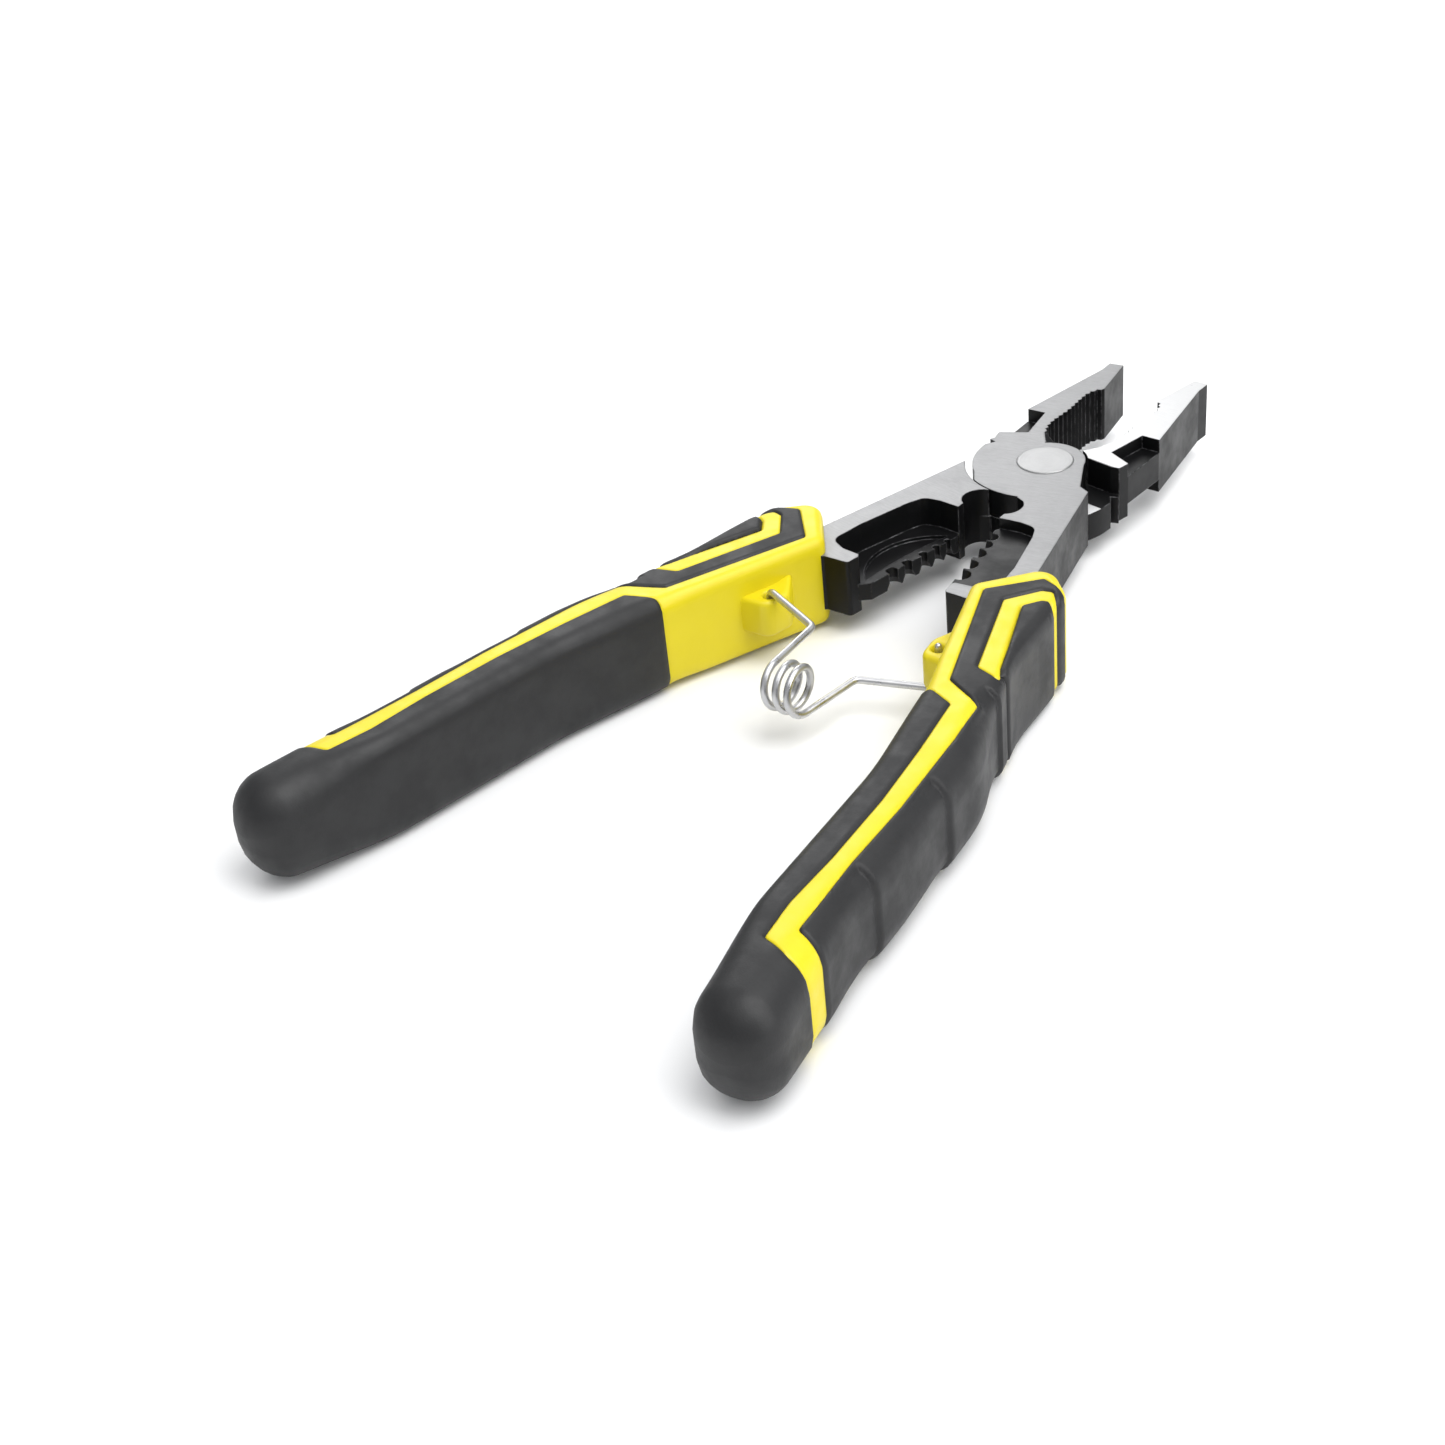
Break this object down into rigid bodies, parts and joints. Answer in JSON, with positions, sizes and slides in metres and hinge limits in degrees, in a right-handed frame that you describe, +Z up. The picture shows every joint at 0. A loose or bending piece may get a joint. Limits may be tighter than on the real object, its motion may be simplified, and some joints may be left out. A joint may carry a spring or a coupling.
{
  "type": "combination wire stripper plier",
  "caption": "Spring-opened combination plier that strips, cuts and grips wire, with forged jaws on a rivet and two-colour soft grips.",
  "frame": {"origin": "middle of the footprint on the bench that the tool lies flat on", "axes": "+Y towards the jaw tips, +X to the right seen from above, +Z up off the bench along the pivot axis"},
  "size_m": [0.1204, 0.2286, 0.0214],
  "materials": {
    "forged_steel": "blackened forged sides with satin ground faces",
    "rivet_steel": "fine ground satin",
    "hard_yellow": "semi-gloss hard moulded plastic",
    "soft_black": "fine matte soft-touch moulding",
    "spring_wire": "bright drawn wire"
  },
  "bodies": {
    "right_half": {"right_forged_half": "forged_steel", "right_grip_core": "hard_yellow", "right_outer_sleeve": "soft_black", "right_thumb_pad": "soft_black", "right_palm_panel": "soft_black", "pivot_rivet": "rivet_steel"},
    "left_half": {"left_forged_half": "forged_steel", "left_grip_core": "hard_yellow", "left_outer_sleeve": "soft_black", "left_thumb_pad": "soft_black", "left_palm_panel": "soft_black"},
    "spring_right": {"right_spring_half": "spring_wire"},
    "spring_left": {"left_spring_half": "spring_wire"}
  },
  "joints": [
    {"name": "handle_pivot", "type": "hinge", "parent": "right_half", "child": "left_half", "pos_m": [0, 0.06554, 0.0107], "axis": [0, 0, 1], "range_deg": [0, 20.8], "stiffness_Nm_per_rad": 1.5},
    {"name": "spring_leg_swing", "type": "hinge", "parent": "right_half", "child": "spring_right", "pos_m": [0.01993, -0.00522, 0.0107], "axis": [0, 0, 1], "range_deg": [0, 42]},
    {"name": "spring_coil_flex", "type": "hinge", "parent": "spring_right", "child": "spring_left", "pos_m": [0, -0.02546, 0.0107], "axis": [0, 0, 1], "range_deg": [-63, 0], "deforming": ["right_spring_half", "left_spring_half"]}
  ],
  "couplings": [
    {"joint": "spring_leg_swing", "follows": "handle_pivot", "ratio": 2.003},
    {"joint": "spring_coil_flex", "follows": "handle_pivot", "ratio": -3.0057}
  ]
}
